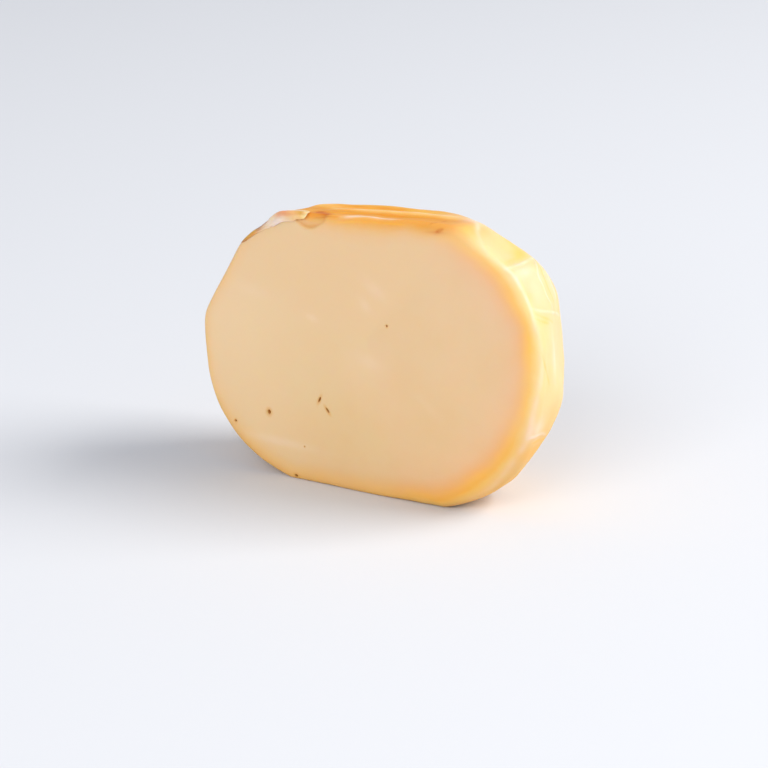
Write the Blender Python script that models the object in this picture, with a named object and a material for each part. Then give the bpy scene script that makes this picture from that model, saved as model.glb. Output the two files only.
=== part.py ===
"""Provolone cheese: the end piece of a smoked loaf, stood on its flattened underside.

The loaf lies along +Y. Its cut face is the flat one at the front, towards -Y, and its
closed end is the blunt dome at the back. Metres, +Z up, origin at the middle of the
footprint of its bounding box.
"""

import math

import bmesh
import bpy
from mathutils import Vector

MM = 0.001

# Loaf section, measured from the loaf's axis
AXIS_HEIGHT = 56.0 * MM
HALF_WIDTH = 66.3 * MM
HALF_HEIGHT_UPPER = 48.3 * MM
HALF_HEIGHT_LOWER = 58.9 * MM

# Superellipse exponents of the section's four quarters: 2 is an ellipse, more is squarer
FULLNESS_UPPER_RIGHT = 2.16
FULLNESS_UPPER_LEFT = 4.0
FULLNESS_LOWER_LEFT = 2.78
FULLNESS_LOWER_RIGHT = 2.65

# Closed end: exponents of the curve by which the section shrinks with depth
LOAF_DEPTH = 54.5 * MM
END_BLUNTNESS = 2.3
END_BLUNTNESS_BELOW = 6.0
END_ROUNDNESS = 1.8

# Radius of the rounded edge round the cut face, by direction round the axis
EDGE_RADII = (
    (0.0, 4.0 * MM),
    (48.0, 4.0 * MM),
    (95.0, 4.5 * MM),
    (150.0, 2.5 * MM),
    (180.0, 1.5 * MM),
    (270.0, 1.2 * MM),
    (320.0, 6.0 * MM),
)

# Flats that the wrapping pressed into the rind:
# direction round the axis, lean towards the closed end, distance from the axis
FLATS = (
    (151.0, 6.0, 57.3 * MM),
    (128.0, 7.0, 52.4 * MM),
    (94.0, 7.0, 41.6 * MM),
    (68.5, 31.4, 52.6 * MM),
    (45.0, 50.0, 62.0 * MM),
    (7.5, 20.0, 65.0 * MM),
    (-32.0, 38.0, 63.4 * MM),
    (112.0, 50.0, 52.5 * MM),
    (176.0, 46.0, 66.0 * MM),
    (222.0, 58.0, 66.5 * MM),
)
FLAT_SOFTNESS = 0.6 * MM

# A flat has no hold on rind that faces this far away from it
LEAST_FACING = 0.1

SEGMENTS = 84
FACE_RINGS = 6
EDGE_RINGS = 4
RIND_RINGS = 26
FACE_CROWDING = 0.8
RINGS = FACE_RINGS + EDGE_RINGS + RIND_RINGS

RIND_YELLOW = (0.95, 0.78, 0.45, 1.0)


def clear_scene():
    for item in list(bpy.data.objects):
        bpy.data.objects.remove(item, do_unlink=True)


def ease(share):
    return share * share * (3.0 - 2.0 * share)


def mix(start, end, share):
    return start + (end - start) * share


def edge_radius(angle):
    """Radius of the front edge, eased from one named direction to the next."""
    degrees = math.degrees(angle) % 360.0
    following = EDGE_RADII[1:] + ((EDGE_RADII[0][0] + 360.0, EDGE_RADII[0][1]),)
    for (start, radius), (end, next_radius) in zip(EDGE_RADII, following):
        if start <= degrees <= end:
            return mix(radius, next_radius, ease((degrees - start) / (end - start)))
    return EDGE_RADII[0][1]


def section_radius(angle):
    """Distance from the axis to the unpressed rind, in a section through the loaf."""
    across = math.cos(angle)
    upward = math.sin(angle)
    rightness = ease(0.5 + 0.5 * across)
    upness = ease(0.5 + 0.5 * upward)
    half_height = mix(HALF_HEIGHT_LOWER, HALF_HEIGHT_UPPER, upness)
    fullness = mix(
        mix(FULLNESS_LOWER_LEFT, FULLNESS_LOWER_RIGHT, rightness),
        mix(FULLNESS_UPPER_LEFT, FULLNESS_UPPER_RIGHT, rightness),
        upness,
    )
    spread = abs(across / HALF_WIDTH) ** fullness + abs(upward / half_height) ** fullness
    return spread ** (-1.0 / fullness)


def end_scale(angle, depth):
    """How far the section has shrunk at a depth, from 1 at the cut to 0 at the end."""
    lowness = (0.5 - 0.5 * math.sin(angle)) ** 2
    bluntness = END_BLUNTNESS + END_BLUNTNESS_BELOW * lowness
    share = min(1.0, depth / LOAF_DEPTH)
    return max(0.0, 1.0 - share ** bluntness) ** (1.0 / END_ROUNDNESS)


def soft_part(value):
    """The value above zero and nothing below, with a soft bend between the two."""
    share = value / FLAT_SOFTNESS
    if share > 30.0:
        return value
    return FLAT_SOFTNESS * math.log1p(math.exp(max(share, -50.0)))


def rind_radius(angle, depth):
    """Distance from the axis to the pressed rind, at a depth behind the cut face."""
    radius = section_radius(angle) * end_scale(angle, depth)
    for direction, lean, distance in FLATS:
        facing = math.cos(angle - math.radians(direction))
        if facing > LEAST_FACING:
            tip = math.radians(lean)
            limit = (distance - depth * math.sin(tip)) / math.cos(tip)
            radius -= soft_part(radius * facing - limit) / facing
    if math.sin(angle) < 0.0:
        radius = min(radius, -AXIS_HEIGHT / math.sin(angle))
    return radius


def loaf_point(ring, angle):
    """Ring 0 is the middle of the cut face, and the last ring is the tip of the end."""
    edge = edge_radius(angle)
    if ring <= FACE_RINGS:
        depth = 0.0
        radius = (rind_radius(angle, depth) - edge) * (ring / FACE_RINGS) ** FACE_CROWDING
    elif ring <= FACE_RINGS + EDGE_RINGS:
        turn = (ring - FACE_RINGS) / EDGE_RINGS * math.pi / 2.0
        depth = edge * (1.0 - math.cos(turn))
        radius = rind_radius(angle, depth) - edge * (1.0 - math.sin(turn))
    else:
        share = (ring - FACE_RINGS - EDGE_RINGS) / RIND_RINGS
        depth = edge + (LOAF_DEPTH - edge) * math.sin(share * math.pi / 2.0)
        radius = rind_radius(angle, depth)
    return Vector((radius * math.cos(angle), depth, radius * math.sin(angle)))


def build_loaf():
    """A sphere whose rings are laid over the face, the edge and the rind in turn."""
    shape = bmesh.new()
    bmesh.ops.create_uvsphere(shape, u_segments=SEGMENTS, v_segments=RINGS, radius=1.0)
    for vertex in shape.verts:
        ring = round(RINGS * math.acos(max(-1.0, min(1.0, vertex.co.z))) / math.pi)
        angle = math.atan2(vertex.co.y, vertex.co.x)
        vertex.co = loaf_point(ring, angle)
    bmesh.ops.recalc_face_normals(shape, faces=shape.faces)
    centre_on_footprint(shape)
    mesh = bpy.data.meshes.new("provolone")
    shape.to_mesh(mesh)
    shape.free()
    mesh.shade_smooth()
    mesh.set_sharp_from_angle(angle=math.radians(40.0))
    return mesh


def centre_on_footprint(shape):
    """Stand the loaf on z = 0 with the middle of its footprint at the origin."""
    lowest = [min(vertex.co[axis] for vertex in shape.verts) for axis in range(3)]
    highest = [max(vertex.co[axis] for vertex in shape.verts) for axis in range(3)]
    middle = Vector(((lowest[0] + highest[0]) / 2.0, (lowest[1] + highest[1]) / 2.0, lowest[2]))
    bmesh.ops.translate(shape, verts=shape.verts, vec=-middle)


def cheese_material():
    material = bpy.data.materials.new("cheese")
    material.use_nodes = True
    shader = material.node_tree.nodes["Principled BSDF"]
    shader.inputs["Base Color"].default_value = RIND_YELLOW
    shader.inputs["Roughness"].default_value = 0.42
    shader.inputs["Metallic"].default_value = 0.0
    shader.inputs["Subsurface Weight"].default_value = 0.2
    shader.inputs["Subsurface Radius"].default_value = (0.004, 0.0025, 0.001)
    return material


def main():
    clear_scene()
    collection = bpy.data.collections.new("provolone cheese")
    bpy.context.scene.collection.children.link(collection)
    loaf = bpy.data.objects.new("provolone", build_loaf())
    loaf.data.materials.append(cheese_material())
    collection.objects.link(loaf)


main()
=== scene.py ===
"""Looks of the provolone: the end piece of a smoked loaf, standing on its flat underside.

One dense mesh replaces the plain solid. It repeats the solid's shape from the same named
values and adds further facets, creases, the rippled smoked top, the scoop and the eyes. The
peeled strip of rind is a piece of its own. Lengths are in millimetres in the loaf's own frame,
until a mesh is placed: X across the cut face, Y from it towards the closed end, Z up from the
axis. A place on the loaf is a direction round the axis, in degrees anticlockwise from +X seen
from the cut face, and a depth behind that face.
"""

import math

import bmesh
import bpy
import numpy as np
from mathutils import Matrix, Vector, noise


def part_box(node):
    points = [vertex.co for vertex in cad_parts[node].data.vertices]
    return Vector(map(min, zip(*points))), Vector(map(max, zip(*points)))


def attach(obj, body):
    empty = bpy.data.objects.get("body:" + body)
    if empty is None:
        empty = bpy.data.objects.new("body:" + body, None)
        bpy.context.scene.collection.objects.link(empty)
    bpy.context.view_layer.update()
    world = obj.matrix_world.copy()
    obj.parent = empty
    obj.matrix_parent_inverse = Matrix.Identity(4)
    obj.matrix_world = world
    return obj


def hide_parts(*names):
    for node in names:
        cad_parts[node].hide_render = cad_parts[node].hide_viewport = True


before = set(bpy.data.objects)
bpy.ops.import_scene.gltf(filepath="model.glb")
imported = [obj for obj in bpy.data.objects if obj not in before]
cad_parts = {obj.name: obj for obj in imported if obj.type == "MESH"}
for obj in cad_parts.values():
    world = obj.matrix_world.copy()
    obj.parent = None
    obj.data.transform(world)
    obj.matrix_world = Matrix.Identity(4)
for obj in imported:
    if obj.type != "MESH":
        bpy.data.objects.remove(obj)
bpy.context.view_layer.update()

MM = 0.001

# --- Loaf section, measured from the loaf's axis ---
AXIS_HEIGHT = 56.0
HALF_WIDTH = 66.3
HALF_HEIGHT_UPPER = 48.3
HALF_HEIGHT_LOWER = 58.9
FULLNESS_UPPER_RIGHT = 2.16
FULLNESS_UPPER_LEFT = 4.0
FULLNESS_LOWER_LEFT = 2.78
FULLNESS_LOWER_RIGHT = 2.65

# Closed end
LOAF_DEPTH = 54.5
END_BLUNTNESS = 2.3
END_BLUNTNESS_BELOW = 6.0
END_ROUNDNESS = 1.8

# Radius of the rounded edge round the cut face, by direction
EDGE_RADII = ((0, 4.0), (48, 4.0), (95, 4.5), (150, 2.5), (180, 1.5), (270, 1.2), (320, 6.0))

# Flats pressed into the rind: direction, lean towards the closed end, distance from the axis
FLATS = (
    (151.0, 6.0, 57.3),
    (128.0, 7.0, 52.4),
    (94.0, 7.0, 41.6),
    (68.5, 31.4, 52.6),
    (45.0, 50.0, 62.0),
    (7.5, 20.0, 65.0),
    (-32.0, 38.0, 63.4),
    (112.0, 50.0, 52.5),
    (176.0, 46.0, 66.0),
    (222.0, 58.0, 66.5),
)
FLAT_SOFTNESS = 0.6

# The flats soften towards the closed end: from this depth, to this depth, share
SOFTER_BEHIND = (28.0, 48.0, 2.0)

# A flat has no hold on rind that faces this far away from it
LEAST_FACING = 0.1

# --- Creased rind ---
# Further facets, given like the flats. The two on the left cut deep behind the rim.
FACETS = (
    (57.0, 5.4, 55.9),
    (29.7, 6.3, 63.4),
    (28.1, 20.9, 64.9),
    (75.8, 47.6, 52.0),
    (166.0, 24.0, 62.5),
    (203.0, 24.0, 65.0),
    (5.5, 50.6, 62.1),
    (-34.4, 10.8, 68.6),
)
FACET_SOFTNESS = 0.25

# The rind sinks along both sides of a crease: how many times wider, share of the height
CREASE_SPREAD = 3.0
CREASE_SINK = 0.5

# Width of a crease's colour, as a multiple of its own
CREASE_COLOUR_SPREAD = 1.1

# Creases: height (below zero for a groove), half width, colour, share of it and the places
# each runs through. The pale colour on the raised creases is a painted highlight; the golden
# colour in the grooves is painted shade.
CREASES = (
    (0.30, 0.45, "pale", 0.55, ((31.5, 1.2), (31.0, 10.0), (30.8, 24.0))),
    (0.26, 0.36, "pale", 0.65, ((30.2, 22.5), (25.8, 17.2), (21.8, 17.0), (18.0, 16.4), (13.8, 18.5))),
    (-0.20, 0.38, "golden", 0.40, ((29.2, 23.9), (25.5, 21.0), (21.8, 20.1), (18.0, 20.2), (14.3, 21.7))),
    (0.12, 0.90, "pale", 0.50, ((27.2, 28.4), (23.0, 27.6), (19.2, 26.6), (14.0, 26.0))),
    (0.24, 0.40, "pale", 0.65, ((17.8, 2.1), (15.8, 7.9), (13.6, 16.0), (11.5, 24.2), (8.2, 33.0))),
    (-0.12, 0.33, "golden", 0.40, ((16.2, 2.8), (13.8, 7.7), (10.2, 15.9))),
    (-0.10, 0.28, "golden", 0.30, ((15.2, 1.4), (12.8, 5.9), (11.5, 10.0))),
    (-0.14, 0.38, "golden", 0.40, ((4.8, 1.7), (0.0, 3.4), (-6.0, 6.9))),
    (0.28, 0.45, "pale", 0.70, ((-22.5, 1.5), (-21.8, 3.2), (-21.8, 8.1), (-23.5, 13.0))),
    (-0.20, 0.45, "golden", 0.50, ((-24.0, 4.0), (-24.0, 9.0), (-25.4, 14.0))),
    (0.14, 0.40, "pale", 0.20, ((31.0, 24.0), (33.0, 29.0), (41.0, 33.5), (52.0, 38.0))),
    (0.20, 0.45, "pale", 0.12, ((146.0, 21.0), (158.0, 16.0), (170.0, 15.0), (183.0, 19.0))),
    (0.18, 0.45, "pale", 0.10, ((170.0, 15.0), (167.0, 24.0), (171.0, 33.0), (168.0, 39.0))),
    (0.20, 0.50, "pale", 0.12, ((190.0, 26.0), (199.0, 19.0), (213.0, 17.0), (226.0, 21.0))),
    (-0.14, 0.40, "golden", 0.20, ((186.0, 12.0), (181.0, 20.0), (184.0, 28.0))),
    (0.18, 0.50, "pale", 0.12, ((44.0, 36.0), (55.0, 44.0), (66.0, 42.0), (78.0, 38.0))),
    (0.16, 0.45, "pale", 0.10, ((163.0, 40.0), (146.0, 47.0), (118.0, 45.0))),
    (0.18, 0.50, "pale", 0.12, ((7.0, 36.0), (1.0, 44.0), (-18.0, 47.0), (-36.0, 44.0))),
    (-0.14, 0.40, "golden", 0.20, ((13.0, 40.0), (5.0, 45.0), (-6.0, 42.0))),
)

# Swells and grooves, most of them in the smoked rind and nearly parallel to the cut: height,
# half width and places
SWELLS = (
    (0.40, 2.2, ((121.0, 11.5), (113.0, 17.0), (102.0, 18.8), (90.0, 19.0), (75.0, 19.3), (59.0, 18.6))),
    (-0.35, 2.0, ((121.0, 6.8), (112.0, 7.0), (104.0, 9.5), (95.0, 11.5), (86.0, 11.0), (62.0, 12.2))),
    (-0.25, 1.0, ((124.0, 19.5), (116.0, 21.5), (106.0, 22.8), (94.0, 23.2), (80.0, 23.5))),
    (0.40, 3.0, ((138.0, 20.0), (128.0, 24.0), (116.0, 26.5), (104.0, 28.5), (90.0, 28.0), (76.0, 27.0))),
    (0.15, 0.9, ((111.0, 1.6), (100.0, 2.4), (89.0, 3.3), (74.0, 4.3), (63.0, 4.5))),
    (-0.22, 1.2, ((150.0, 24.0), (163.0, 27.0), (176.0, 24.0), (190.0, 28.0))),
    (0.25, 3.5, ((228.0, 30.0), (245.0, 36.0), (262.0, 33.0))),
)

# Streaks in the smoked rind: colour, half width, share and places. The pale ones and the golden
# one along the ridges are painted highlights; the orange ones and the first brown one follow the
# grooves and are partly painted shade there, over the smoke's own orange.
STREAKS = (
    ("pale", 1.3, 0.30,
     ((121.0, 11.5), (113.0, 17.0), (102.0, 18.6), (90.0, 19.0), (75.0, 19.3), (60.0, 18.6))),
    ("orange", 1.5, 0.60,
     ((119.0, 3.5), (112.0, 4.4), (106.0, 8.0), (96.0, 11.5), (86.0, 13.0), (76.0, 11.0))),
    ("orange", 1.2, 0.50, ((86.0, 9.5), (78.0, 9.0), (69.5, 11.0), (61.0, 12.0))),
    ("brown", 0.5, 0.35, ((124.0, 19.5), (116.0, 21.5), (106.0, 22.6))),
    ("orange", 2.2, 0.70, ((127.0, 21.5), (118.0, 23.6), (107.0, 25.5), (95.0, 25.5), (86.0, 25.5))),
    ("golden", 3.0, 0.50, ((128.0, 24.0), (116.0, 26.5), (104.0, 28.5), (90.0, 28.0), (76.0, 27.0))),
    ("brown", 1.9, 1.0, ((121.5, 8.2), (117.5, 6.3), (115.0, 4.8), (111.5, 3.2))),
    ("brown", 0.6, 0.30, ((114.0, 4.8), (108.0, 5.4), (102.0, 7.0))),
    ("brown", 0.4, 0.35, ((119.0, 1.5), (112.0, 1.8), (106.0, 2.0))),
    ("pale", 1.1, 0.75, ((105.0, 2.2), (99.0, 3.4), (93.0, 4.2), (85.0, 4.2), (76.0, 4.4))),
    ("golden", 0.4, 0.50, ((110.0, 0.35), (100.0, 0.9), (88.0, 1.3), (78.0, 1.3), (70.0, 1.2))),
    ("brown", 0.5, 0.40, ((59.3, 10.0), (59.8, 5.7), (61.3, 1.8))),
    ("brown", 0.6, 0.50, ((55.5, 0.7), (56.8, 0.03))),
)

# Painted highlight along the crest of the rounded edge, from the top down the right side, over
# a low ridge
CREST = ((56.0, 19.5), (53.0, 16.0), (50.5, 13.0), (48.5, 10.0), (46.2, 6.2), (41.5, 2.1), (36.8, 1.2),
         (33.0, 1.8), (26.0, 1.8), (19.0, 2.1), (13.0, 1.2), (7.0, 1.5), (-6.5, 1.2), (-14.0, 1.0),
         (-22.8, 1.5), (-32.0, 1.0), (-44.5, 1.7), (-51.5, 1.6))
CREST_HEIGHT = 0.08
CREST_HALF_WIDTH = 1.0

# Half width of the line's painted highlight, and how strong it is, by direction
CREST_HALF_WIDTHS = ((0, 1.0), (10, 1.2), (17, 0.6), (30, 0.6), (34, 1.0), (46, 1.1), (54, 1.0),
                     (300, 1.2), (330, 1.3))
CREST_TINTS = ((0, 0.12), (10, 0.4), (17, 0.65), (30, 0.65), (36, 0.20), (44, 0.20), (50, 0.6),
               (56, 0.6), (305, 0.2), (325, 0.25), (345, 0.5))

# Shallow hollow beside the longest crease
HOLLOW_PLACE = (35.0, 14.0)
HOLLOW_RADIUS = 5.0
HOLLOW_DEPTH = 0.5

# Low lumps all over the rind, and smaller ones on them, as shares of their size and height
LUMP_SIZE = 11.0
LUMP_HEIGHT = 0.3
SMALL_LUMP_SIZE = 0.4
SMALL_LUMP_HEIGHT = 0.3

# Distance between stronger and weaker stretches of a crease, and how much they differ
UNEVEN_SIZE = 4.0
UNEVEN_SHARE = 0.7

# Scoop cut out of the face under the smoked top: middle, half width, height of its bottom, rise
# of its border towards the ends, and depth
SCOOP_MIDDLE = -22.8
SCOOP_HALF_WIDTH = 6.4
SCOOP_BOTTOM = 35.3
SCOOP_RISE = 3.4
SCOOP_DEPTH = 0.9

# Heights of its wall over the border line, and depths between which it runs out
SCOOP_WALL = (-0.2, 0.7)
SCOOP_BEHIND = (1.0, 5.0)

# Band of painted shade along the border: height over the line, half width, and its loss at the
# right
SCOOP_BAND_HEIGHT = 0.6
SCOOP_BAND_HALF_WIDTH = 0.75
SCOOP_BAND_LOSS = 0.8
SCOOP_BAND_LOSS_FROM = (0.1, 0.9)

# Finer mesh past the scoop: beside it, below it and behind the face
SCOOP_MARGIN = (1.0, 1.2, 1.5)

# Faint pale marks on the face: across, up, half length, half width, lean from upright, share
FACE_MARKS = (
    (-21.7, 4.0, 2.2, 1.0, 70.0, 0.35),
    (-35.0, -43.3, 13.0, 1.5, 88.0, 0.35),
    (3.5, 17.7, 5.0, 2.2, 60.0, 0.22),
    (-0.5, 11.7, 3.0, 1.8, 40.0, 0.22),
    (1.5, -8.1, 4.5, 2.4, 75.0, 0.20),
    (-46.0, 10.0, 7.0, 2.5, 80.0, 0.15),
    (24.0, -20.0, 6.0, 1.5, 50.0, 0.12),
)

# --- Eyes in the paste: across, up, half length, half width, lean from upright, depth ---
EYES = (
    (-39.5, -33.2, 0.95, 0.75, 0.0, 0.9),
    (-18.8, -25.1, 1.25, 0.42, -24.0, 0.9),
    (-15.6, -28.4, 1.25, 0.42, 38.0, 0.9),
    (-53.5, -38.9, 0.50, 0.45, 0.0, 0.5),
    (8.0, 5.8, 0.42, 0.38, 0.0, 0.4),
    (-28.5, -54.9, 0.80, 0.60, 60.0, 0.6),
    (-25.0, -43.4, 0.26, 0.24, 0.0, 0.2),
)

# Where an eye's wall, its brown middle, which is painted shade inside the pit, and the stain
# round it start and end, as multiples of its outline
EYE_WALL = (0.45, 1.05)
EYE_MIDDLE = (0.4, 1.15)
EYE_STAIN = (0.9, 2.6)
EYE_STAIN_SHARE = 0.55

# Marks and eyes of the face end at this depth
FACE_REACH = 2.0

# --- Mesh density ---
PATCH_CELLS = 100
EDGE_ROWS = 14
RIND_ROWS = 104
ROW_CROWDING = 1.2
PATCH_START = 0.9
RING = 4 * PATCH_CELLS
MERGE_DISTANCE = 0.002

# Finer mesh near a crease: so many times as wide, a margin, and the least strength that counts
FINER_SPREAD = 2.0
FINER_MARGIN = 0.3
FINER_ABOVE = 0.1

# Finer mesh round the eyes, twice over: margins
EYE_MARGINS = (1.6, 0.7)

QUARTER = math.pi / 2.0


# --- Shape of the plain loaf ---
def ease(share):
    return share * share * (3.0 - 2.0 * share)


def step(value, low, high):
    return ease(np.clip((value - low) / (high - low), 0.0, 1.0))


def bell(distance, half_width):
    return np.exp(-((distance / half_width) ** 2))


def mix(start, end, share):
    return start + (end - start) * share


def by_direction(table, degrees):
    """Value eased from one named direction to the next, right round the loaf."""
    turn = np.asarray(degrees) % 360.0
    result = np.zeros_like(turn)
    closed = tuple(table) + ((table[0][0] + 360.0, table[0][1]),)
    for (start, value), (end, following) in zip(closed, closed[1:]):
        for shift in (0.0, -360.0, 360.0):
            inside = (turn >= start + shift) & (turn <= end + shift)
            share = (turn - start - shift) / (end - start)
            result = np.where(inside, mix(value, following, ease(share)), result)
    return result


def section_radius(angle):
    across = np.cos(angle)
    upward = np.sin(angle)
    rightness = ease(0.5 + 0.5 * across)
    upness = ease(0.5 + 0.5 * upward)
    half_height = mix(HALF_HEIGHT_LOWER, HALF_HEIGHT_UPPER, upness)
    fullness = mix(
        mix(FULLNESS_LOWER_LEFT, FULLNESS_LOWER_RIGHT, rightness),
        mix(FULLNESS_UPPER_LEFT, FULLNESS_UPPER_RIGHT, rightness),
        upness,
    )
    spread = np.abs(across / HALF_WIDTH) ** fullness + np.abs(upward / half_height) ** fullness
    return spread ** (-1.0 / fullness)


def end_scale(angle, depth):
    lowness = (0.5 - 0.5 * np.sin(angle)) ** 2
    bluntness = END_BLUNTNESS + END_BLUNTNESS_BELOW * lowness
    share = np.clip(depth / LOAF_DEPTH, 0.0, 1.0)
    return np.clip(1.0 - share ** bluntness, 0.0, 1.0) ** (1.0 / END_ROUNDNESS)


def soft_part(value, softness):
    """The value above zero and nothing below, with a soft bend between the two."""
    return softness * np.logaddexp(0.0, value / softness)


def rind_radius(angle, depth):
    """Distance from the axis to the pressed rind, at a depth behind the cut face."""
    radius = section_radius(angle) * end_scale(angle, depth)
    start, end, share = SOFTER_BEHIND
    behind = 1.0 + share * step(depth, start, end)
    for flats, softness in ((FLATS, FLAT_SOFTNESS * behind), (FACETS, FACET_SOFTNESS)):
        for direction, lean, distance in flats:
            facing = np.cos(angle - math.radians(direction))
            hold = np.maximum(facing, LEAST_FACING)
            tip = math.radians(lean)
            limit = (distance - depth * math.sin(tip)) / math.cos(tip)
            pressed = soft_part(radius * hold - limit, softness) / hold
            radius = np.where(facing > LEAST_FACING, radius - pressed, radius)
    lowness = np.maximum(-np.sin(angle), 1e-6)
    return np.minimum(radius, AXIS_HEIGHT / lowness)


def section_points(angle, depth, radius):
    return np.stack((radius * np.cos(angle), depth, radius * np.sin(angle)), axis=-1)


def rind_points(angle, depth):
    return section_points(angle, depth, rind_radius(angle, depth))


def edge_points(angle, share):
    """Points on the rounded edge, from the cut face at share 0 to the rind at share 1."""
    edge = by_direction(EDGE_RADII, np.degrees(angle))
    depth = edge * (1.0 - np.cos(share * QUARTER))
    inset = edge * (1.0 - np.sin(share * QUARTER))
    return section_points(angle, depth, rind_radius(angle, depth) - inset)


def surface_points(direction, depth):
    """Points on the rounded edge or the rind at the given places."""
    angle = np.radians(np.atleast_1d(direction).astype(float))
    depth = np.atleast_1d(depth).astype(float)
    edge = by_direction(EDGE_RADII, np.degrees(angle))
    share = np.arccos(np.clip(1.0 - depth / edge, 0.0, 1.0)) / QUARTER
    on_edge = edge_points(angle, share)
    on_rind = rind_points(angle, depth)
    return np.where((depth < edge)[:, None], on_edge, on_rind)


# --- Base mesh ---
def square_rings():
    """Directions and radial shares of a square grid drawn out to a disc."""
    line = np.linspace(-1.0, 1.0, PATCH_CELLS + 1)
    across, upward = np.meshgrid(line, line)
    share = np.maximum(np.abs(across), np.abs(upward))
    sideways = np.abs(across) >= np.abs(upward)
    safe_across = np.where(across == 0.0, 1.0, across)
    safe_upward = np.where(upward == 0.0, 1.0, upward)
    eighth = math.pi / 4.0
    side = eighth * upward / safe_across + np.where(across < 0.0, math.pi, 0.0)
    ends = QUARTER - eighth * across / safe_upward + np.where(upward < 0.0, math.pi, 0.0)
    return np.where(sideways, side, ends), share


def patch_border():
    """Grid positions round the border of the square patch, anticlockwise from -45 degrees."""
    last = PATCH_CELLS
    right = [(row, last) for row in range(last)]
    top = [(last, column) for column in range(last, 0, -1)]
    left = [(row, 0) for row in range(last, 0, -1)]
    bottom = [(0, column) for column in range(last)]
    return right + top + left + bottom


def patch_faces(start, outward):
    """Quads of a square patch whose vertices begin at start."""
    width = PATCH_CELLS + 1
    for row in range(PATCH_CELLS):
        for column in range(PATCH_CELLS):
            corner = start + row * width + column
            quad = (corner, corner + 1, corner + 1 + width, corner + width)
            yield quad if outward else quad[::-1]


def rind_depth(radius, travel):
    """Depth reached after a share of the way from the rounded edge to the end's middle."""
    return mix(radius, LOAF_DEPTH, np.sin(travel ** ROW_CROWDING * QUARTER))


def rind_run(radius, depth):
    return radius * QUARTER + depth - radius


def run_at(direction, depth):
    """Run over the edge of one named place."""
    radius = float(by_direction(EDGE_RADII, direction))
    if depth < radius:
        return radius * math.acos(1.0 - depth / radius)
    return rind_run(radius, depth)


def skin_faces():
    """Faces of a square patch, of the rings round it and of the patch that closes them."""
    yield from patch_faces(0, True)
    width = PATCH_CELLS + 1
    start = width * width
    ring = [row * width + column for row, column in patch_border()]
    for _ in range(EDGE_ROWS + RIND_ROWS):
        following = range(start, start + RING)
        for index in range(RING):
            after = (index + 1) % RING
            yield ring[index], ring[after], following[after], following[index]
        ring = following
        start += RING
    yield from patch_faces(start, False)


def skin_parts():
    """Points and runs of the cut face, the rings over the edge and the rind, and the end.

    A run is the distance along the profile from where the cut face starts to round over:
    negative inwards over the face, positive back over the rind.
    """
    angle, share = square_rings()
    rim = edge_points(angle, np.zeros_like(angle))
    reach = np.hypot(rim[..., 0], rim[..., 2])
    yield rim * share[..., None], (share - 1.0) * reach

    ring_angle = np.array([angle[place] for place in patch_border()])
    radius = by_direction(EDGE_RADII, np.degrees(ring_angle))
    for index in range(1, EDGE_ROWS + 1):
        turn = np.full(RING, index / EDGE_ROWS)
        yield edge_points(ring_angle, turn), turn * radius * QUARTER
    for index in range(1, RIND_ROWS + 1):
        depth = rind_depth(radius, PATCH_START * index / RIND_ROWS)
        yield rind_points(ring_angle, depth), rind_run(radius, depth)

    radius = by_direction(EDGE_RADII, np.degrees(angle))
    depth = rind_depth(radius, 1.0 - (1.0 - PATCH_START) * share)
    yield rind_points(angle, depth), rind_run(radius, depth)


def base_shape():
    """Closed bmesh of the loaf with its facets, and a float layer holding each run."""
    points, runs = zip(*skin_parts())
    points = np.concatenate([part.reshape(-1, 3) for part in points])
    runs = np.concatenate([part.reshape(-1) for part in runs])
    mesh = bpy.data.meshes.new("loaf_base")
    mesh.from_pydata(points.tolist(), [], list(skin_faces()))
    shape = bmesh.new()
    shape.from_mesh(mesh)
    bpy.data.meshes.remove(mesh)
    layer = shape.verts.layers.float.new("run")
    for vertex, run in zip(shape.verts, runs.tolist()):
        vertex[layer] = run
    bmesh.ops.remove_doubles(shape, verts=shape.verts, dist=MERGE_DISTANCE)
    bmesh.ops.recalc_face_normals(shape, faces=shape.faces)
    return shape


def refine(shape, near, cuts):
    """Split the faces whose centre is near a feature."""
    centres = np.array([face.calc_center_median() for face in shape.faces])
    chosen = near(centres)
    edges = set()
    for face, take in zip(shape.faces, chosen):
        if take:
            edges.update(face.edges)
    bmesh.ops.subdivide_edges(shape, edges=list(edges), cuts=cuts, use_grid_fill=True)


# --- Features ---
PATH_STEPS = 12

# A mark is worked out this many half widths round the box of its path. Over this share of the
# path at either end it fades, to this strength.
PATH_REACH = 3.0
PATH_END = 0.14
LEAST_AT_END = 0.3


def path_points(places):
    """Points along a smooth curve over the surface through the named places."""
    knots = np.array(places, float)
    knots = np.vstack((2.0 * knots[0] - knots[1], knots, 2.0 * knots[-1] - knots[-2]))
    share = np.linspace(0.0, 1.0, PATH_STEPS)[:, None]
    spans = []
    for before, start, end, after in zip(knots, knots[1:], knots[2:], knots[3:]):
        bend = 2.0 * before - 5.0 * start + 4.0 * end - after
        twist = 3.0 * (start - end) + after - before
        spans.append(start + 0.5 * share * (end - before + share * (bend + share * twist)))
    route = np.concatenate(spans)
    return surface_points(route[:, 0], np.maximum(route[:, 1], 0.0))


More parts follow.
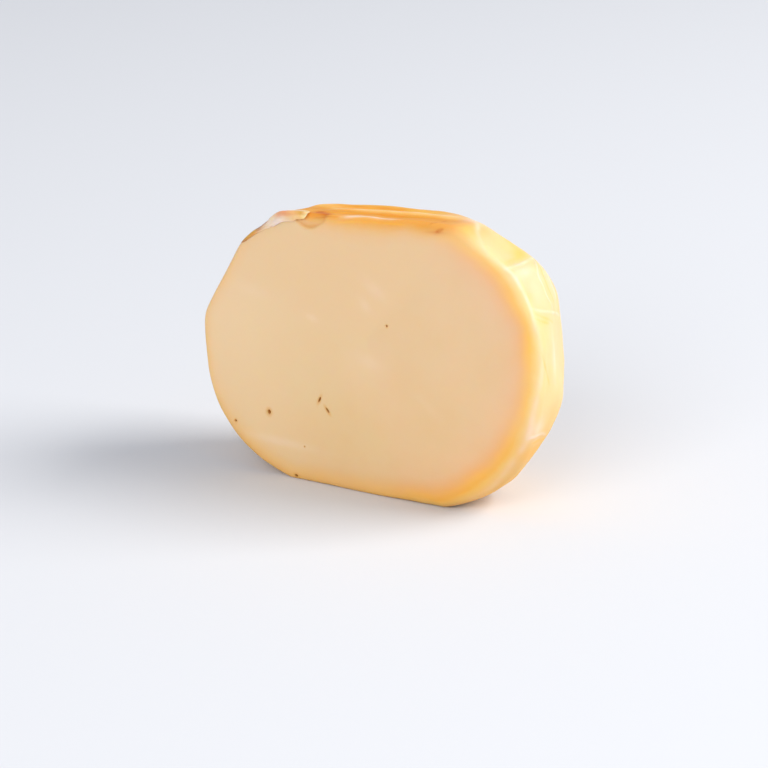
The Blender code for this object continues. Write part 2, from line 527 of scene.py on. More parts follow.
def path_strength(points, path, half_width):
    """How strongly a mark of this half width along a path shows at each point, from 0 to 1."""
    strength = np.zeros(len(points))
    margin = PATH_REACH * half_width
    close = np.all((points > path.min(axis=0) - margin) & (points < path.max(axis=0) + margin), axis=1)
    near = points[close]
    nearest = np.full(len(near), np.inf)
    along = np.zeros(len(near))
    lengths = np.linalg.norm(np.diff(path, axis=0), axis=1)
    travelled = np.insert(np.cumsum(lengths), 0, 0.0)
    for index in range(len(path) - 1):
        span = path[index + 1] - path[index]
        length = span @ span
        if length == 0.0:
            continue
        share = np.clip((near - path[index]) @ span / length, 0.0, 1.0)
        gap = near - path[index] - share[:, None] * span
        distance = np.sqrt(np.einsum("ij,ij->i", gap, gap))
        closer = distance < nearest
        nearest[closer] = distance[closer]
        along[closer] = travelled[index] + share[closer] * math.sqrt(length)
    along /= travelled[-1]
    fade = step(np.minimum(along, 1.0 - along), 0.0, PATH_END)
    strength[close] = bell(nearest, half_width) * mix(LEAST_AT_END, 1.0, fade)
    return strength


CREASE_PATHS = [path_points(crease[4]) for crease in CREASES]
SWELL_PATHS = [path_points(swell[2]) for swell in SWELLS]
STREAK_PATHS = [path_points(streak[3]) for streak in STREAKS]
CREST_PATH = path_points(CREST)


def ellipse_reach(points, across, upward, half_length, half_width, lean):
    """Distance from the middle of an ellipse on the face, as a multiple of its outline."""
    right, depth, up = points.T
    right = right - across
    up = up - upward
    tilt = math.radians(lean)
    along = up * math.cos(tilt) - right * math.sin(tilt)
    beside = right * math.cos(tilt) + up * math.sin(tilt)
    reach = np.hypot(along / half_length, beside / half_width)
    return np.where(depth < FACE_REACH, reach, np.inf)


def near_creases(points):
    close = path_strength(points, CREST_PATH, CREST_HALF_WIDTH) > FINER_ABOVE
    for (_, half_width, *_), path in zip(CREASES, CREASE_PATHS):
        close |= path_strength(points, path, FINER_SPREAD * half_width + FINER_MARGIN) > FINER_ABOVE
    return close


def near_eyes(margin):
    def near(points):
        right, depth, up = points.T
        close = np.zeros(len(points), bool)
        for across, upward, half_length, *_ in EYES:
            close |= np.hypot(right - across, up - upward) < half_length + margin
        return close & (depth < FACE_REACH)
    return near


def scoop_parts(points):
    """How far inside the scoop a point of the face lies, and how near its border."""
    right, depth, up = points.T
    sideways = (right - SCOOP_MIDDLE) / SCOOP_HALF_WIDTH
    height = up - SCOOP_BOTTOM - SCOOP_RISE * sideways ** 2
    fade = np.clip(1.0 - sideways ** 2, 0.0, 1.0) ** 0.5 * (1.0 - step(depth, *SCOOP_BEHIND))
    inside = step(height, *SCOOP_WALL) * fade
    loss = SCOOP_BAND_LOSS * step(sideways, *SCOOP_BAND_LOSS_FROM)
    border = bell(height - SCOOP_BAND_HEIGHT, SCOOP_BAND_HALF_WIDTH) * fade * (1.0 - loss)
    return inside, border


def near_scoop(points):
    beside, below, behind = SCOOP_MARGIN
    right, depth, up = points.T
    sideways = np.abs(right - SCOOP_MIDDLE) < SCOOP_HALF_WIDTH + beside
    return sideways & (up > SCOOP_BOTTOM - below) & (depth < behind)


def lumps(points, size, seed):
    """Uneven heights from -1 to 1, with lumps of about this size."""
    shift = Vector((seed, 2.0 * seed, 0.0))
    return np.array([noise.noise(Vector(point) / size + shift) for point in points.tolist()])


def unevenness(points):
    """Strength of the creases from one stretch to the next, round about 1."""
    return 1.0 + UNEVEN_SHARE * lumps(points, UNEVEN_SIZE, seed=9.0)


def relief(points, normals, rind, uneven):
    """Points moved by the lumps, creases, swells, crest, hollow, scoop and eyes."""
    rise = LUMP_HEIGHT * rind * lumps(points, LUMP_SIZE, seed=3.0)
    small = lumps(points, SMALL_LUMP_SIZE * LUMP_SIZE, seed=5.0)
    rise += SMALL_LUMP_HEIGHT * LUMP_HEIGHT * rind * small
    for (height, half_width, *_), path in zip(CREASES, CREASE_PATHS):
        sharp = path_strength(points, path, half_width)
        soft = path_strength(points, path, CREASE_SPREAD * half_width)
        rise += height * uneven * (sharp - CREASE_SINK * soft)
    for (height, half_width, _), path in zip(SWELLS, SWELL_PATHS):
        rise += height * path_strength(points, path, half_width)
    rise += CREST_HEIGHT * path_strength(points, CREST_PATH, CREST_HALF_WIDTH)
    middle = surface_points(*HOLLOW_PLACE)[0]
    rise -= HOLLOW_DEPTH * bell(np.linalg.norm(points - middle, axis=1), HOLLOW_RADIUS)
    rise -= SCOOP_DEPTH * scoop_parts(points)[0]
    for *outline, depth in EYES:
        rise -= depth * (1.0 - step(ellipse_reach(points, *outline), *EYE_WALL))
    moved = points + rise[:, None] * normals
    moved[:, 2] = np.maximum(moved[:, 2], -AXIS_HEIGHT)
    moved[:, 1] = np.maximum(moved[:, 1], 0.0)
    return moved


# --- Paint: how much of each colour a vertex takes ---
# Strength of the smoke and of the warm rim, by direction. The warm rim is partly the rind's own
# tint and partly a painted glow of light shining through the edge, strongest on the right
SMOKE = ((0, 0.0), (40, 0.0), (50, 0.45), (58, 0.9), (64, 1.0), (122, 1.0), (150, 0.8),
         (190, 0.3), (230, 0.0))
RIM_TINT_AND_GLOW = ((0, 1.0), (30, 1.0), (48, 0.8), (62, 0.2), (90, 0.0), (270, 0.2), (300, 0.9), (330, 1.0))

# How far the smoked colours reach inwards, by direction
SMOKE_REACH = ((0, 0.0), (45, 2.0), (57, 1.5), (70, 0.0), (95, 0.0), (120, 0.0), (126, -3.0),
               (152, -3.0), (180, -1.0))

# How the smoke draws back at the shoulder behind the face: depth where that starts, degrees a
# millimetre, direction of the shoulder and its half width
SMOKE_LEAN = (12.0, 0.8, 65.0, 30.0)

# Depths between which smoke, and the rim's tint and glow and the painted shade, even out;
# strengths there, how nearly reached
SMOKE_BEHIND = (30.0, 52.0)
BEHIND = (20.0, 50.0)
SMOKE_AT_END = 0.35
RIM_TINT_AND_GLOW_AT_END = 0.45
END_SHARE = 0.9

# Where the face turns into rind, by run
RIND_REACH = (-0.5, 2.5)

# Paler left half of the face: distances left of the axis, and the runs where it ends
LEFT_REACH = (5.0, 60.0)
LEFT_END = (-3.0, 1.0)

# Shade towards the underside: strength and distances below the axis
LOW_SHADE = 0.30
LOW_REACH = (-5.0, 50.0)

# Darker edge of the face towards the underside, painted shade, by direction and by run, with its
# shade and the brown of a painted shadow along the very edge
LOW_EDGE = ((0, 0.0), (200, 0.0), (228, 1.0), (310, 1.0), (328, 0.6), (350, 0.0))
LOW_EDGE_REACH = (-8.0, 0.0)
LOW_EDGE_SHADOW_REACH = (-2.0, 0.5)
LOW_EDGE_SHADE = 0.55
LOW_EDGE_SHADOW = 0.3

# Painted shade of the scoop, on its border and inside
SCOOP_BORDER_SHADE = 0.7
SCOOP_INSIDE_SHADE = 0.3

# Soft patches: colour, place, half length round the loaf, half width across the edge, share. The
# pale patches on the rind are painted light and highlights; the small golden patches beside the
# creases are painted shade.
PATCHES = (
    ("brown", (57.0, 0.05), 2.6, 0.7, 0.35),
    ("orange", (66.0, 6.0), 12.0, 6.0, 0.3),
    ("orange", (53.5, 1.5), 3.0, 4.0, 0.3),
    ("orange", (119.3, 4.5), 4.0, 2.5, 0.8),
    ("golden", (50.0, 5.0), 3.5, 5.0, 0.45),
    ("golden", (33.0, 9.0), 1.1, 7.0, 0.55),
    ("golden", (34.0, 17.0), 2.4, 4.0, 0.65),
    ("golden", (39.0, 19.0), 4.5, 1.8, 0.35),
    ("golden", (39.0, 12.0), 4.0, 6.0, 0.25),
    ("pale", (28.2, 8.0), 1.8, 7.0, 0.50),
    ("pale", (22.0, 11.0), 7.0, 6.0, 0.35),
    ("pale", (25.0, 17.0), 2.5, 2.5, 0.25),
    ("golden", (21.0, 4.4), 2.0, 2.4, 0.30),
    ("golden", (13.0, 7.0), 1.4, 4.0, 0.30),
    ("pale", (22.0, 25.0), 5.0, 2.5, 0.35),
    ("pale", (0.5, 12.0), 7.0, 1.8, 0.60),
    ("pale", (-1.5, 2.1), 5.5, 0.8, 0.40),
    ("golden", (-4.0, 6.5), 4.0, 1.5, 0.15),
    ("pale", (-19.5, 4.5), 3.5, 3.5, 0.65),
    ("golden", (-18.0, 14.0), 5.0, 5.0, 0.25),
    ("golden", (-28.0, 9.0), 4.0, 8.0, 0.65),
    ("golden", (-45.0, 10.0), 15.0, 6.0, 0.9),
    ("golden", (-46.0, 18.0), 17.0, 8.0, 0.8),
    ("pale", (51.5, 17.0), 3.5, 5.0, 0.8),
    ("pale", (60.0, 25.0), 6.0, 6.0, 0.20),
)


def patch_share(place, half_length, half_width, direction, run, reach):
    """Strength of one soft patch, from its place and half sizes."""
    turn = (direction - place[0] + 180.0) % 360.0 - 180.0
    around = np.radians(turn) * reach
    across = run - run_at(*place)
    return bell(np.hypot(around / half_length, across / half_width), 1.0)


def mark_shares(points, direction, run, uneven):
    """Share of each paint from the patches, creases, streaks, crest line and face marks."""
    reach = np.hypot(points[:, 0], points[:, 2])
    shares = {name: np.zeros(len(points)) for name in PAINTS}
    for name, place, half_length, half_width, share in PATCHES:
        shares[name] += share * patch_share(place, half_length, half_width, direction, run, reach)
    for (_, half_width, name, share, _), path in zip(CREASES, CREASE_PATHS):
        strength = path_strength(points, path, CREASE_COLOUR_SPREAD * half_width)
        shares[name] += share * uneven * strength
    for (name, half_width, share, _), path in zip(STREAKS, STREAK_PATHS):
        shares[name] += share * uneven * path_strength(points, path, half_width)
    crest_width = by_direction(CREST_HALF_WIDTHS, direction)
    crest = path_strength(points, CREST_PATH, CREST_HALF_WIDTH) ** (1.0 / crest_width ** 2)
    shares["pale"] += by_direction(CREST_TINTS, direction) * uneven * crest
    for *ellipse, share in FACE_MARKS:
        shares["pale"] += share * bell(ellipse_reach(points, *ellipse), 1.0)
    return {name: np.clip(share, 0.0, 1.0) for name, share in shares.items()}


def eye_shares(points):
    """Share of the eyes' brown middles, painted shade in their pits, and of the stain round them and the
    painted shade in the scoop.
    """
    eye = np.zeros(len(points))
    stain_and_shade = np.zeros(len(points))
    for *outline, _ in EYES:
        distance = ellipse_reach(points, *outline)
        eye = np.maximum(eye, 1.0 - step(distance, *EYE_MIDDLE))
        stain_and_shade = np.maximum(stain_and_shade, EYE_STAIN_SHARE * (1.0 - step(distance, *EYE_STAIN)))
    inside, border = scoop_parts(points)
    # The scoop's painted shade, on its border and, fainter, inside it
    scoop = SCOOP_BORDER_SHADE * border + SCOOP_INSIDE_SHADE * inside * (1.0 - border)
    return eye, np.maximum(stain_and_shade, scoop)


def smoke_share(points, direction):
    """Strength of the smoke, drawn back behind the shoulder and evened out at the closed end."""
    depth = points[:, 1]
    start, slope, shoulder, half_width = SMOKE_LEAN
    lean = slope * np.maximum(depth - start, 0.0) * bell(direction - shoulder, half_width)
    smoke = by_direction(SMOKE, direction - lean)
    return mix(smoke, SMOKE_AT_END, END_SHARE * step(depth, *SMOKE_BEHIND))


def paint(points, direction, run, uneven):
    """Every colour share of the cheese by name, one value a point."""
    shares = mark_shares(points, direction, run, uneven)
    eye, stain_and_shade = eye_shares(points)
    smoke = smoke_share(points, direction)
    back = step(points[:, 1], *BEHIND)
    # Painted shade towards the underside and along the face's lower edge, and a brown painted shadow on
    # that edge
    low = LOW_SHADE * step(-points[:, 2], *LOW_REACH)
    low_edge = LOW_EDGE_SHADE * by_direction(LOW_EDGE, direction) * step(run, *LOW_EDGE_REACH)
    low_shadow = LOW_EDGE_SHADOW * low_edge * step(run, *LOW_EDGE_SHADOW_REACH)
    shares.update({
        "run": run + smoke * by_direction(SMOKE_REACH, direction),
        "rind": step(run, *RIND_REACH),
        "smoke": smoke,
        # Warm rim: the rind's own tint and a painted glow of light through the edge
        "rim_tint_and_glow": mix(by_direction(RIM_TINT_AND_GLOW, direction), RIM_TINT_AND_GLOW_AT_END, END_SHARE * back),
        "left": step(-points[:, 0], *LEFT_REACH) * (1.0 - step(run, *LEFT_END)),
        "shade": (low + low_edge) * (1.0 - back),
        "brown": np.minimum(shares["brown"] + low_shadow, 1.0),
        "eye": eye,
        "stain_and_shade": stain_and_shade,
    })
    return shares


# --- Colours and materials ---
def srgb(red, green, blue):
    """Linear colour of an sRGB colour given in parts of 255."""
    shares = (red / 255.0, green / 255.0, blue / 255.0)
    linear = [s / 12.92 if s <= 0.04045 else ((s + 0.055) / 1.055) ** 2.4 for s in shares]
    return (*linear, 1.0)


class Nodes:
    """Short ways to add and join the nodes of one material."""

    def __init__(self, name):
        self.material = bpy.data.materials.new(name)
        self.material.use_nodes = True
        self.tree = self.material.node_tree
        self.shader = self.tree.nodes["Principled BSDF"]
        self.place = self.add("ShaderNodeTexCoord").outputs["Object"]

    def add(self, kind):
        return self.tree.nodes.new(kind)

    def join(self, start, end):
        self.tree.links.new(start, end)

    def feed(self, value, socket):
        """Set a socket to a number or a colour, or join another node's output to it."""
        if isinstance(value, (float, tuple)):
            socket.default_value = value
        else:
            self.join(value, socket)

    def attribute(self, name, output="Fac"):
        node = self.add("ShaderNodeAttribute")
        node.attribute_name = name
        return node.outputs[output]

    def noise(self, size, detail, seed):
        """Noise from 0 to 1 whose features are about size metres apart."""
        node = self.add("ShaderNodeTexNoise")
        node.noise_dimensions = "4D"
        node.inputs["W"].default_value = seed
        node.inputs["Scale"].default_value = 1.0 / size
        node.inputs["Detail"].default_value = detail
        self.join(self.place, node.inputs["Vector"])
        return node.outputs["Fac"]

    def ramp(self, value, stops):
        """Colours read along a value; stops are (position from 0 to 1, colour)."""
        node = self.add("ShaderNodeValToRGB")
        band = node.color_ramp
        band.elements[0].position, band.elements[0].color = stops[0]
        band.elements[1].position, band.elements[1].color = stops[-1]
        for position, colour in stops[1:-1]:
            band.elements.new(position).color = colour
        self.join(value, node.inputs["Fac"])
        return node.outputs["Color"]

    def scaled(self, value, low, high, start=0.0, end=1.0):
        node = self.add("ShaderNodeMapRange")
        for name, number in (("From Min", low), ("From Max", high), ("To Min", start), ("To Max", end)):
            node.inputs[name].default_value = number
        self.join(value, node.inputs["Value"])
        return node.outputs["Result"]

    def math(self, kind, first, second):
        node = self.add("ShaderNodeMath")
        node.operation = kind
        self.feed(first, node.inputs[0])
        self.feed(second, node.inputs[1])
        return node.outputs["Value"]

    def times(self, first, second):
        return self.math("MULTIPLY", first, second)

    def blend(self, first, second, share, kind="MIX"):
        node = self.add("ShaderNodeMix")
        node.data_type = "RGBA"
        node.blend_type = kind
        self.feed(share, node.inputs[0])
        self.feed(first, node.inputs[6])
        self.feed(second, node.inputs[7])
        return node.outputs[2]

    def bump(self, height, distance, strength, under=None):
        node = self.add("ShaderNodeBump")
        node.inputs["Distance"].default_value = distance
        node.inputs["Strength"].default_value = strength
        self.join(height, node.inputs["Height"])
        if under is not None:
            self.join(under, node.inputs["Normal"])
        return node.outputs["Normal"]


# Colours along the run over the edge, in millimetres: plain, warm and smoked
PLAIN_RUN = (
    (-20.0, (229, 200, 155)),
    (-6.0, (231, 200, 156)),
    (-1.0, (238, 200, 150)),
    (2.0, (236, 195, 134)),
    (8.0, (236, 196, 134)),
    (32.0, (236, 192, 126)),
)
# Warm colours: partly the rim's own tint, partly a painted glow of light shining through the edge
WARM_RUN = (
    (-20.0, (229, 196, 153)),
    (-12.0, (231, 195, 154)),
    (-8.0, (233, 192, 151)),
    (-5.0, (236, 187, 141)),
    (-3.0, (240, 185, 126)),
    (-1.2, (246, 192, 110)),
    (0.2, (248, 198, 104)),
    (2.0, (243, 210, 135)),
    (3.8, (242, 209, 150)),
    (7.0, (238, 205, 147)),
    (32.0, (236, 200, 142)),
)
# Smoked colours, with a painted highlight along a ridge at runs 20 to 22.5 and, near 14, a deeper orange
# that is partly painted shade in a groove
SMOKED_RUN = (
    (-5.0, (231, 197, 153)),
    (-2.0, (232, 194, 147)),
    (0.0, (233, 190, 136)),
    (2.0, (235, 182, 110)),
    (4.0, (234, 168, 80)),
    (6.5, (234, 165, 72)),
    (10.0, (234, 160, 56)),
    (14.0, (228, 150, 34)),
    (17.0, (238, 162, 50)),
    (20.0, (248, 188, 98)),
    (22.5, (250, 193, 110)),
    (25.0, (241, 175, 72)),
    (28.0, (236, 172, 60)),
    (42.0, (232, 168, 72)),
    (58.0, (232, 178, 102)),
)
RUN_START = -20.0
RUN_END = 60.0

# Noises: size in metres, detail and seed
WANDER = (0.011, 3.0, 1.0)
CLOUD = (0.016, 3.0, 7.0)
BLUSH = (0.026, 1.0, 11.0)
WAVES = (0.0075, 2.0, 4.0)
GRAIN = (0.0022, 3.0, 3.0)
FLAP_CLOUD = (0.003, 3.0, 2.0)
FLAP_GRAIN = (0.0016, 2.0, 5.0)

# Most that the paints, the clouds and the paler left half take of a colour
PAINT_SHARE = 0.8
CLOUD_SHARE = 0.4
LEFT_SHARE = 0.7

FACE_ROUGHNESS = 0.55
RIND_ROUGHNESS = 0.42

# Paints, in the order in which they cover one another. Besides marks of their own, pale carries
# painted highlights, golden and orange painted shade beside creases and in grooves, and brown
# painted shade in a groove of the top and a painted shadow along the bottom edge
PAINTS = {
    "golden": srgb(250, 186, 68),
    "orange": srgb(230, 138, 24),
    "pale": srgb(245, 222, 201),
    "brown": srgb(192, 84, 14),
}
# Brown of the eyes' middles: painted shade inside their pits
EYE_SHADE = srgb(158, 98, 28)
# Orange-brown of the stain round the eyes and of the painted shade in the scoop
STAIN_AND_SHADE = srgb(224, 164, 82)
# Multiplied in as painted shade towards the underside and along the face's lower edge
SHADE = srgb(250, 235, 194)
PASTE_DEEP = srgb(228, 189, 138)
PASTE_PINK = srgb(237, 199, 161)
PASTE_LEFT = srgb(240, 212, 172)


def run_colour(nodes, share, stops):
    width = RUN_END - RUN_START
    return nodes.ramp(share, [((run - RUN_START) / width, srgb(*colour)) for run, colour in stops])


def wandering_run(nodes):
    """Place along the coloured run, from 0 to 1, with its borders a little uneven."""
    share = nodes.scaled(nodes.attribute("run"), RUN_START, RUN_END)
    wander = nodes.scaled(nodes.noise(*WANDER), 0.3, 0.7, -0.01, 0.01)
    return nodes.math("ADD", share, wander)


def cheese_colour(nodes):
    share = wandering_run(nodes)
    plain = run_colour(nodes, share, PLAIN_RUN)
    warm = run_colour(nodes, share, WARM_RUN)
    colour = nodes.blend(plain, warm, nodes.attribute("rim_tint_and_glow"))
    cloud = nodes.scaled(nodes.noise(*CLOUD), 0.42, 0.72)
    colour = nodes.blend(colour, PASTE_DEEP, nodes.times(cloud, CLOUD_SHARE))
    blush = nodes.scaled(nodes.noise(*BLUSH), 0.45, 0.8)
    colour = nodes.blend(colour, PASTE_PINK, nodes.times(blush, CLOUD_SHARE))
    colour = nodes.blend(colour, PASTE_LEFT, nodes.times(nodes.attribute("left"), LEFT_SHARE))
    colour = nodes.blend(colour, run_colour(nodes, share, SMOKED_RUN), nodes.attribute("smoke"))
    colour = nodes.blend(colour, SHADE, nodes.attribute("shade"), "MULTIPLY")
    for name, tint in PAINTS.items():
        colour = nodes.blend(colour, tint, nodes.times(nodes.attribute(name), PAINT_SHARE))
    colour = nodes.blend(colour, STAIN_AND_SHADE, nodes.attribute("stain_and_shade"))
    return nodes.blend(colour, EYE_SHADE, nodes.attribute("eye"))


def cheese_material():
    nodes = Nodes("cheese")
    roughness = nodes.scaled(nodes.attribute("rind"), 0.0, 1.0, FACE_ROUGHNESS, RIND_ROUGHNESS)
    grain = nodes.bump(nodes.noise(*GRAIN), 0.00012, 0.5)
    waves = nodes.bump(nodes.noise(*WAVES), 0.0004, 0.35, grain)
    nodes.join(cheese_colour(nodes), nodes.shader.inputs["Base Color"])
    nodes.join(roughness, nodes.shader.inputs["Roughness"])
    nodes.join(waves, nodes.shader.inputs["Normal"])
    nodes.shader.inputs["Specular IOR Level"].default_value = 0.1
    nodes.shader.inputs["Subsurface Weight"].default_value = 0.35
    nodes.shader.inputs["Subsurface Radius"].default_value = (1.0, 0.5, 0.2)
    nodes.shader.inputs["Subsurface Scale"].default_value = 0.005
    return nodes.material


# --- Peeled strip of rind ---
FLAP_START = 153.5
FLAP_END = 120.6
FLAP_STATIONS = 150
FLAP_SIDES = 40
FLAP_THICKNESS = 0.45

# Over this share of its length at either end the strip narrows, to this share of its width
FLAP_TAPER = 0.05
FLAP_TIP = 0.4

# Runs of its inner and outer edge, and lift of the inner one, by direction. The outer edge
# lifts less, by this share.
FLAP_INNER = ((120.6, 1.9), (122.5, 1.4), (124.5, 1.0), (129.0, -0.5), (136.0, -0.7), (138.5, -0.2),
              (141.5, 0.3), (146.0, 0.8), (150.0, 0.9), (153.5, 2.2))
FLAP_OUTER = ((120.6, 6.2), (124.0, 8.5), (133.0, 8.5), (136.5, 6.5), (139.0, 3.4), (142.0, 2.8),
              (146.0, 3.6), (150.0, 3.2), (153.5, 3.0))
FLAP_LIFT = ((120.6, 0.75), (123.0, 0.45), (130.0, 0.35), (136.0, 0.35), (138.5, 0.05), (143.0, 0.05),
             (146.0, 0.25), (150.0, 0.10), (153.5, 0.0))
OUTER_LOSS = 0.6

# Folds along it: place across it from its inner edge, half width, and height where the strip
# is this wide
FULL_FOLD_WIDTH = 8.0
FLAP_FOLDS = ((0.10, 0.06, 0.22), (0.26, 0.08, -0.22), (0.45, 0.09, 0.30), (0.64, 0.07, -0.18))

# Colours of the strip by direction: its inner edge, its middle and its outer edge. The pale pink
# entries from 132.5 to 137.5 degrees are partly a painted highlight over the strip's own colour.
FLAP_COLOURS = (
    (120.6, (250, 224, 168), (248, 216, 160), (246, 204, 146)),
    (122.2, (250, 220, 156), (244, 200, 136), (244, 202, 142)),
    (123.6, (246, 192, 126), (220, 166, 76), (248, 220, 180)),
    (126.5, (250, 198, 142), (244, 176, 114), (250, 224, 194)),
    (129.5, (250, 204, 166), (242, 160, 112), (250, 226, 200)),
    (132.5, (250, 220, 202), (244, 170, 130), (248, 222, 194)),
    (135.0, (246, 216, 204), (250, 214, 180), (250, 222, 190)),
    (137.5, (248, 214, 190), (246, 212, 188), (244, 208, 178)),
    (140.0, (250, 210, 174), (232, 194, 164), (190, 154, 132)),
    (143.0, (240, 190, 146), (200, 150, 116), (168, 126, 100)),
    (145.5, (232, 156, 84), (218, 158, 70), (222, 176, 86)),
    (149.0, (214, 140, 66), (220, 164, 76), (216, 170, 84)),
    (151.5, (170, 112, 74), (196, 146, 92), (200, 156, 100)),
    (153.5, (150, 104, 80), (160, 114, 88), (170, 130, 100)),
)

# Where those colours change across the strip, and where it joins the rind
MIDDLE_FROM = (0.12, 0.34)
OUTER_FROM = (0.52, 0.77)
JOIN_FROM = (0.88, 1.0)
FLAP_JOIN = srgb(232, 160, 76)
FLAP_HAZE = srgb(246, 196, 138)


def by_table(table, values):
    """Values eased between the entries of a table that doesn't close on itself."""
    result = np.full(len(values), float(table[0][1]))
    for (start, low), (end, high) in zip(table, table[1:]):
        result += (high - low) * step(values, start, end)
    return result


def rounded_points(direction, run):
    """Points and normals on the face, the rounded edge or the rind, from their run."""
    angle = np.radians(direction)
    radius = by_direction(EDGE_RADII, direction)
    turn = np.clip(run / radius, 0.0, QUARTER)
    points = edge_points(angle, turn / QUARTER)
    outward = np.stack((np.cos(angle), np.zeros_like(angle), np.sin(angle)), axis=-1)
    points = points + np.minimum(run, 0.0)[:, None] * outward
    beyond = run > radius * QUARTER
    behind = rind_points(angle, run - radius * QUARTER + radius)
    points = np.where(beyond[:, None], behind, points)
    normal = outward * np.sin(turn)[:, None]
    normal[:, 1] = -np.cos(turn)
    return points, normal


def flap_colours(directions, across):
    """Linear colours of the strip, blended by direction and across its width."""
    order, *columns = zip(*FLAP_COLOURS)
    strips = []
    for column in columns:
        tints = np.array([srgb(*tint) for tint in column])
        strips.append(np.stack([np.interp(directions, order, tint) for tint in tints.T], axis=-1))
    colours = mix(strips[0], strips[1], step(across, *MIDDLE_FROM)[:, None])
    colours = mix(colours, strips[2], step(across, *OUTER_FROM)[:, None])
    return mix(colours, np.array(FLAP_JOIN), step(across, *JOIN_FROM)[:, None])


def flap_material():
    nodes = Nodes("peeled_rind")
    haze = nodes.times(nodes.scaled(nodes.noise(*FLAP_CLOUD), 0.35, 0.75), 0.2)
    colour = nodes.blend(nodes.attribute("tint", "Color"), FLAP_HAZE, haze)
    nodes.join(colour, nodes.shader.inputs["Base Color"])
    nodes.join(nodes.bump(nodes.noise(*FLAP_GRAIN), 0.0001, 0.5), nodes.shader.inputs["Normal"])
    nodes.shader.inputs["Roughness"].default_value = 0.45
    nodes.shader.inputs["Specular IOR Level"].default_value = 0.2
    nodes.shader.inputs["Subsurface Weight"].default_value = 0.3
    nodes.shader.inputs["Subsurface Radius"].default_value = (1.0, 0.5, 0.2)
    nodes.shader.inputs["Subsurface Scale"].default_value = 0.002
    return nodes.material


# --- Placing and building ---
LOW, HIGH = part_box("provolone")


def place_in_frame(points):
    """Millimetres in the loaf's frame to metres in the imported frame."""
    placed = points * MM
    placed[:, 0] += (LOW[0] + HIGH[0]) / 2.0
    placed[:, 1] += LOW[1]
    placed[:, 2] += LOW[2] + AXIS_HEIGHT * MM
    return placed


def add_object(name, data):
    item = bpy.data.objects.new(name, data)
    bpy.context.scene.collection.objects.link(item)
    return item


def read(mesh, layer, name, width):
    """One value, or a row of width values, for each vertex."""
    values = np.empty(len(mesh.vertices) * width)
    layer.foreach_get(name, values)
    return values.reshape(-1, width) if width > 1 else values


def build_loaf():
    shape = base_shape()
    refine(shape, near_creases, 1)
    refine(shape, near_scoop, 1)
    for margin in EYE_MARGINS:
        refine(shape, near_eyes(margin), 2)
    mesh = bpy.data.meshes.new("provolone_body")
    shape.to_mesh(mesh)
    shape.free()

    points = read(mesh, mesh.vertices, "co", 3)
    normals = read(mesh, mesh.vertices, "normal", 3)
    run = read(mesh, mesh.attributes["run"].data, "value", 1)
    direction = np.degrees(np.arctan2(points[:, 2], points[:, 0]))
    uneven = unevenness(points)
    shares = paint(points, direction, run, uneven)
    moved = relief(points, normals, shares["rind"], uneven)
    mesh.attributes.remove(mesh.attributes["run"])
    for name, values in shares.items():
        mesh.attributes.new(name, "FLOAT", "POINT").data.foreach_set("value", values.astype(np.float32))
    mesh.vertices.foreach_set("co", place_in_frame(moved).reshape(-1))
    mesh.shade_smooth()
    mesh.materials.append(cheese_material())
    body = add_object("provolone_body", mesh)
    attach(body, "root")
    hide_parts("provolone")


def flap_points(directions, turn, across):
    """Rings of points round the strip, one flat oval for each direction."""
    along = (directions - FLAP_START) / (FLAP_END - FLAP_START)
    inner = by_table(FLAP_INNER, directions)
    outer = by_table(FLAP_OUTER, directions)
    lift = by_table(FLAP_LIFT, directions)
    taper = np.sqrt(np.clip(np.minimum(along, 1.0 - along) / FLAP_TAPER, 0.0, 1.0))
    folded = taper * np.clip((outer - inner) / FULL_FOLD_WIDTH, 0.0, 1.0)
    rings = []
    for index, direction in enumerate(directions):
        middle = 0.5 * (inner[index] + outer[index])
        reach = mix(inner[index], outer[index], across) - middle
        run = middle + reach * mix(FLAP_TIP, 1.0, taper[index])
        base, normal = rounded_points(np.full(FLAP_SIDES, direction), run)
        height = lift[index] * (1.0 - OUTER_LOSS * across)
        for place, half_width, rise in FLAP_FOLDS:
            height = height + rise * folded[index] * bell(across - place, half_width)
        height = height + 0.5 * FLAP_THICKNESS * np.sin(turn) * taper[index]
        rings.append(base + height[:, None] * normal)
    return np.concatenate(rings)


def flap_faces():
    last = (FLAP_STATIONS - 1) * FLAP_SIDES
    yield tuple(range(FLAP_SIDES))[::-1]
    for low in range(0, last, FLAP_SIDES):
        high = low + FLAP_SIDES
        for side in range(FLAP_SIDES):
            after = (side + 1) % FLAP_SIDES
            yield low + side, low + after, high + after, high + side
    yield tuple(range(last, last + FLAP_SIDES))


def build_flap():
    """A strip of rind peeled up along the upper left edge, as a closed loft of flat ovals."""
    directions = np.linspace(FLAP_START, FLAP_END, FLAP_STATIONS)
    turn = np.linspace(0.0, 2.0 * math.pi, FLAP_SIDES, endpoint=False)
    across = 0.5 - 0.5 * np.cos(turn)
    points = flap_points(directions, turn, across)
    tints = flap_colours(np.repeat(directions, FLAP_SIDES), np.tile(across, FLAP_STATIONS))
    mesh = bpy.data.meshes.new("rind_flap")
    mesh.from_pydata(place_in_frame(points).tolist(), [], list(flap_faces()))
    shape = bmesh.new()
    shape.from_mesh(mesh)
    bmesh.ops.recalc_face_normals(shape, faces=shape.faces)
    shape.to_mesh(mesh)
    shape.free()
    layer = mesh.attributes.new("tint", "FLOAT_COLOR", "POINT")
    layer.data.foreach_set("color", tints.astype(np.float32).reshape(-1))
    mesh.shade_smooth()
    mesh.materials.append(flap_material())
    flap = add_object("rind_flap", mesh)
    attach(flap, "root")


# --- Studio ---
# Camera: turn and lift in degrees, distance in metres, lens and sensor in millimetres
CAMERA_TURN = 30.56
CAMERA_LIFT = 18.81
CAMERA_DISTANCE = 0.9473
CAMERA_LENS = 131.25
CAMERA_SENSOR = 36.0

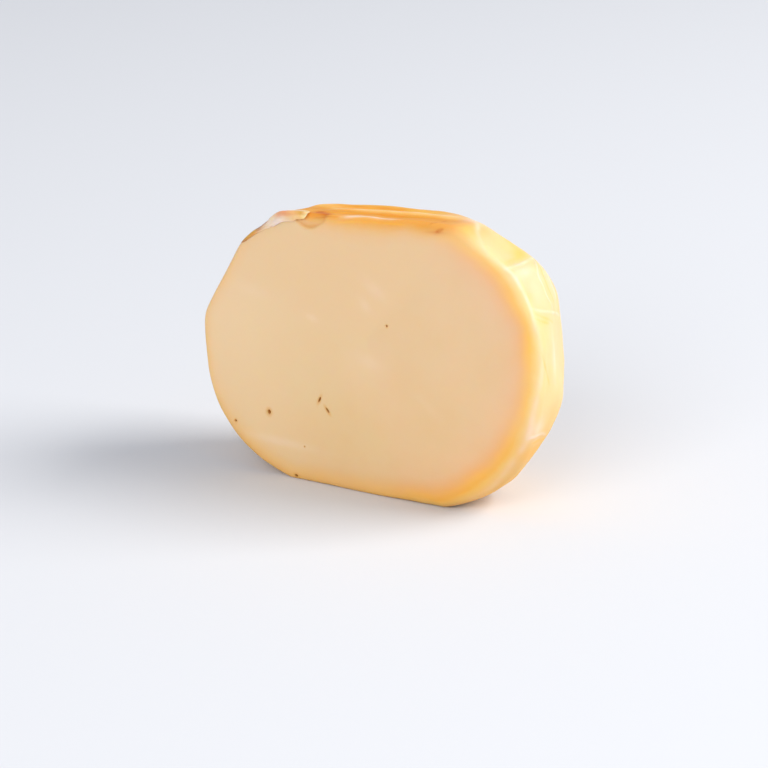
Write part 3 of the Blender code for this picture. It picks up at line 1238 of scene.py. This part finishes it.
# It looks at a point of the cut face, right of its middle and above the underside
AIM_RIGHT = 0.007
AIM_HEIGHT = 0.0411
CAMERA_AIM = Vector(((LOW[0] + HIGH[0]) / 2.0 + AIM_RIGHT, LOW[1], AIM_HEIGHT))

# Lights: name, place in metres, size, power and colour
LIGHTS = (
    ("key", (2.0, 1.0, 1.8), 1.6, 82.0, (1.0, 0.98, 0.94)),
    ("fill", (0.3, -2.6, 1.5), 1.8, 44.0, (1.0, 1.0, 1.0)),
)
LIGHT_AIM = Vector((0.0, 0.0, 0.05))
SKY_COLOUR = (0.85, 0.88, 0.95, 1.0)
SKY_STRENGTH = 0.5

FLOOR_SIZE = 6.0
FLOOR_COLOUR = srgb(222, 224, 229)


def build_camera():
    turn = math.radians(CAMERA_TURN)
    lift = math.radians(CAMERA_LIFT)
    back = Vector((math.sin(turn) * math.cos(lift), -math.cos(turn) * math.cos(lift), math.sin(lift)))
    data = bpy.data.cameras.new("camera")
    data.lens = CAMERA_LENS
    data.sensor_width = CAMERA_SENSOR
    camera = add_object("camera", data)
    camera.location = CAMERA_AIM + back * CAMERA_DISTANCE
    camera.rotation_euler = (QUARTER - lift, 0.0, turn)
    bpy.context.scene.camera = camera


def build_floor():
    bpy.ops.mesh.primitive_plane_add(size=FLOOR_SIZE)
    floor = bpy.context.object
    floor.name = "floor"
    nodes = Nodes("floor")
    nodes.shader.inputs["Base Color"].default_value = FLOOR_COLOUR
    nodes.shader.inputs["Roughness"].default_value = 0.8
    floor.data.materials.append(nodes.material)


def add_light(name, location, size, power, colour):
    data = bpy.data.lights.new(name, "AREA")
    data.size = size
    data.energy = power
    data.color = colour
    light = add_object(name, data)
    light.location = location
    aim = LIGHT_AIM - Vector(location)
    light.rotation_euler = aim.to_track_quat("-Z", "Y").to_euler()


def build_lights():
    world = bpy.data.worlds.new("studio")
    world.use_nodes = True
    background = world.node_tree.nodes["Background"]
    background.inputs["Color"].default_value = SKY_COLOUR
    background.inputs["Strength"].default_value = SKY_STRENGTH
    bpy.context.scene.world = world
    for light in LIGHTS:
        add_light(*light)


build_loaf()
build_flap()
build_floor()
build_lights()
build_camera()
bpy.context.scene.view_settings.view_transform = "Standard"
